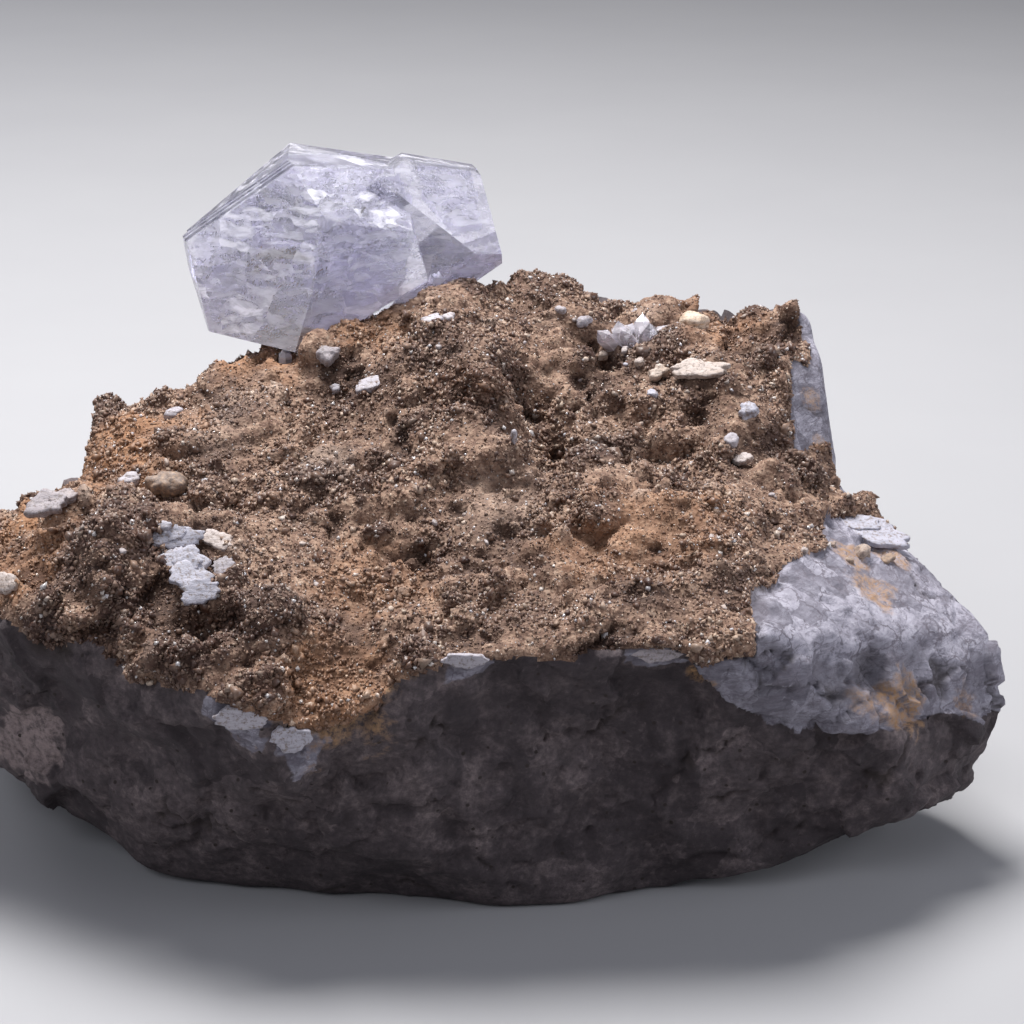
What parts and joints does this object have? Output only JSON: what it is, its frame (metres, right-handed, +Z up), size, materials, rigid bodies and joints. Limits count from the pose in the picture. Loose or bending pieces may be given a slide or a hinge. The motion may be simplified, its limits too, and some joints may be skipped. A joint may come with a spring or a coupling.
{
  "type": "herkimer diamond on matrix",
  "caption": "Clear double-ended quartz crystal group grown on a broken dolostone block with a brown lumpy crust, lying on a small flat spot.",
  "frame": {"origin": "middle of the underside of the whole specimen's box, on the surface it lies on", "axes": "+X along the block from the crystal's end to the white broken end, +Y from the front to the back, +Z up"},
  "size_m": [0.1124, 0.0724, 0.0625],
  "materials": {
    "matrix": "rough brown sugary crust over matt grey and white broken dolostone",
    "clear_quartz": "clear, glossy flat faces with fine growth steps and milky veils inside",
    "small_quartz": "clear to bluish, glossy"
  },
  "bodies": {
    "root": {"matrix": "matrix", "herkimer_crystal": "clear_quartz", "small_quartz_point": "small_quartz", "pocket_quartz": "small_quartz"}
  },
  "joints": []
}
